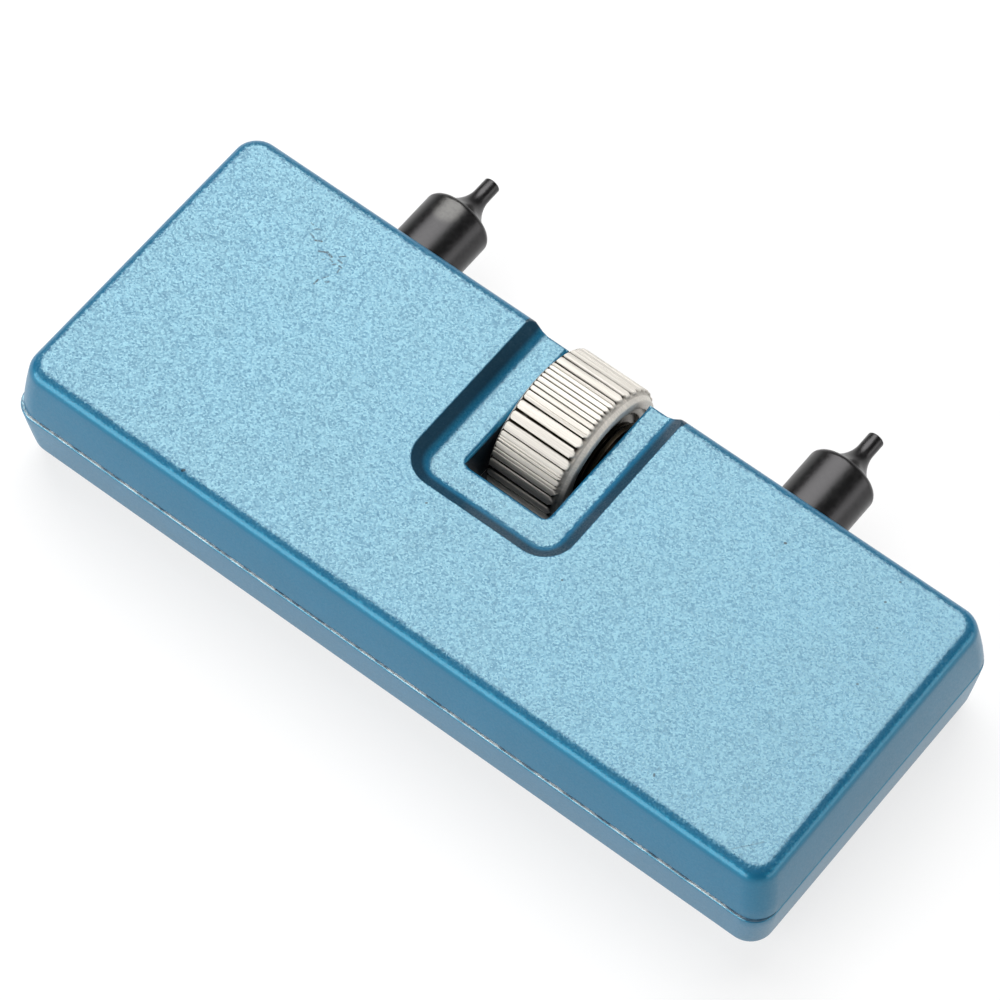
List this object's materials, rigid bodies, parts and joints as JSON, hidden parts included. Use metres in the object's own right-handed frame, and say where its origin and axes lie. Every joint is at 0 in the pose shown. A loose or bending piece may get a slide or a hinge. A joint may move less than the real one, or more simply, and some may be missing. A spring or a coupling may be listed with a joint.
{
  "type": "watch case back opener",
  "caption": "Pocket watch case back opener: a two-half metal case with a knurled thumb wheel that drives a pair of sliding pins in or out together.",
  "frame": {"origin": "middle of the bounding box at its lowest point, straight below the screw's axis and in the middle of the case's length", "axes": "+X along the case and the screw, +Y out of the edge that the pins leave, +Z out of the upper half's face"},
  "size_m": [0.078, 0.0422, 0.0141],
  "materials": {
    "blue_paint": "fine metallic blue paint, satin",
    "nickel": "nickel plate",
    "bright_steel": "turned",
    "black_steel": "black oxide",
    "brass": "machined"
  },
  "bodies": {
    "case": {"upper_shell": "blue_paint", "lower_shell": "blue_paint", "left_inner_bush": "brass", "right_inner_bush": "brass", "left_end_bush": "brass", "right_end_bush": "brass", "left_thrust_washer": "bright_steel", "right_thrust_washer": "bright_steel", "front_left_case_screw": "bright_steel", "front_right_case_screw": "bright_steel", "rear_left_case_screw": "bright_steel", "rear_right_case_screw": "bright_steel"},
    "drive": {"thumb_wheel": "nickel", "lead_screw": "bright_steel"},
    "left_slider": {"left_carriage": "brass", "left_pin_bit": "black_steel"},
    "right_slider": {"right_carriage": "brass", "right_pin_bit": "black_steel"}
  },
  "joints": [
    {"name": "wheel_turn", "type": "hinge", "parent": "case", "child": "drive", "pos_m": [0, 0.00515, 0.00705], "axis": [1, 0, 0], "range_deg": [-3600, 4320]},
    {"name": "left_pin_slide", "type": "slide", "parent": "case", "child": "left_slider", "axis": [-1, 0, 0], "range_m": [-0.00841, 0.00701]},
    {"name": "right_pin_slide", "type": "slide", "parent": "case", "child": "right_slider", "axis": [1, 0, 0], "range_m": [-0.00841, 0.00701]}
  ],
  "couplings": [
    {"joint": "left_pin_slide", "follows": "wheel_turn", "m_per_rad": -0.00011141},
    {"joint": "right_pin_slide", "follows": "wheel_turn", "m_per_rad": -0.00011141}
  ]
}
